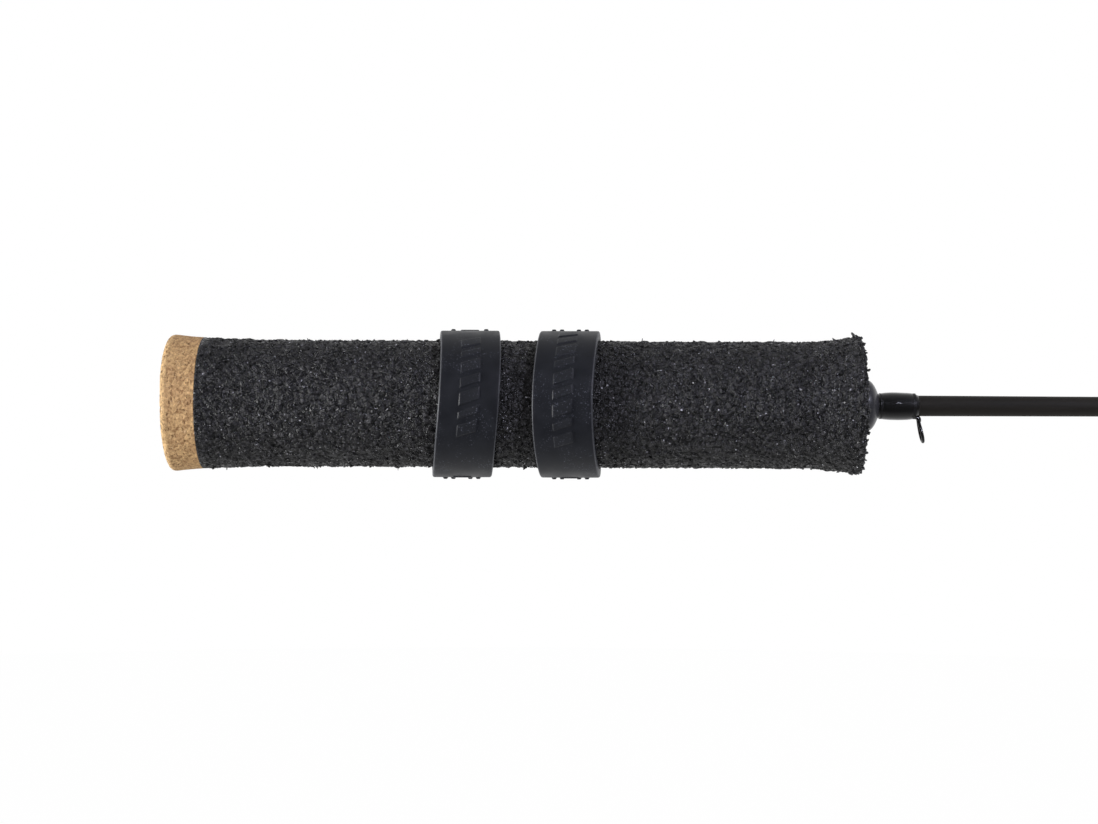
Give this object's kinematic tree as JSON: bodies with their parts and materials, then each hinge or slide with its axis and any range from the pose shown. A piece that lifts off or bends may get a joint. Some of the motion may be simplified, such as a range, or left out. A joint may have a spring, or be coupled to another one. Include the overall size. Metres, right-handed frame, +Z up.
{
  "type": "ice fishing rod",
  "caption": "Short rod for ice fishing: tapered blank with line guides, granulated rubber grip with a cork butt, and two sliding elastic bands for a reel.",
  "frame": {"origin": "on the rod's axis at the middle of the handle, where a hand holds it", "axes": "+X along the rod from butt to tip, +Z up, guides and reel side down, +Y to the left of someone looking towards the tip"},
  "size_m": [0.711, 0.0294, 0.0349],
  "materials": {
    "cork": "matte",
    "rubber_crumb": "matte",
    "carbon_blank": "satin",
    "check_rubber": "satin",
    "thread": "satin",
    "epoxy": "gloss",
    "keeper_wire": "gloss",
    "band_rubber": "satin",
    "black_frame": "gloss",
    "ceramic": "polished"
  },
  "bodies": {
    "rod": {"butt_cap": "cork", "grip": "rubber_crumb", "blank": "carbon_blank", "winding_check": "check_rubber", "butt_thread": "thread", "butt_epoxy": "epoxy", "hook_keeper": "keeper_wire", "guide_1_frame": "black_frame", "guide_1_ring": "ceramic", "guide_1_thread": "thread", "guide_1_epoxy": "epoxy", "guide_2_frame": "black_frame", "guide_2_ring": "ceramic", "guide_2_thread": "thread", "guide_2_epoxy": "epoxy", "guide_3_frame": "black_frame", "guide_3_ring": "ceramic", "guide_3_thread": "thread", "guide_3_epoxy": "epoxy", "guide_4_frame": "black_frame", "guide_4_ring": "ceramic", "guide_4_thread": "thread", "guide_4_epoxy": "epoxy", "guide_5_frame": "black_frame", "guide_5_ring": "ceramic", "guide_5_thread": "thread", "guide_5_epoxy": "epoxy", "tip_frame": "black_frame", "tip_ring": "ceramic", "tip_thread": "thread", "tip_epoxy": "epoxy"},
    "rear_band": {"rear_band": "band_rubber"},
    "front_band": {"front_band": "band_rubber"}
  },
  "joints": [
    {"name": "rear_band_slide", "type": "slide", "parent": "rod", "child": "rear_band", "axis": [1, 0, 0], "range_m": [-0.032, 0.003]},
    {"name": "front_band_slide", "type": "slide", "parent": "rod", "child": "front_band", "axis": [1, 0, 0], "range_m": [-0.003, 0.04]}
  ]
}
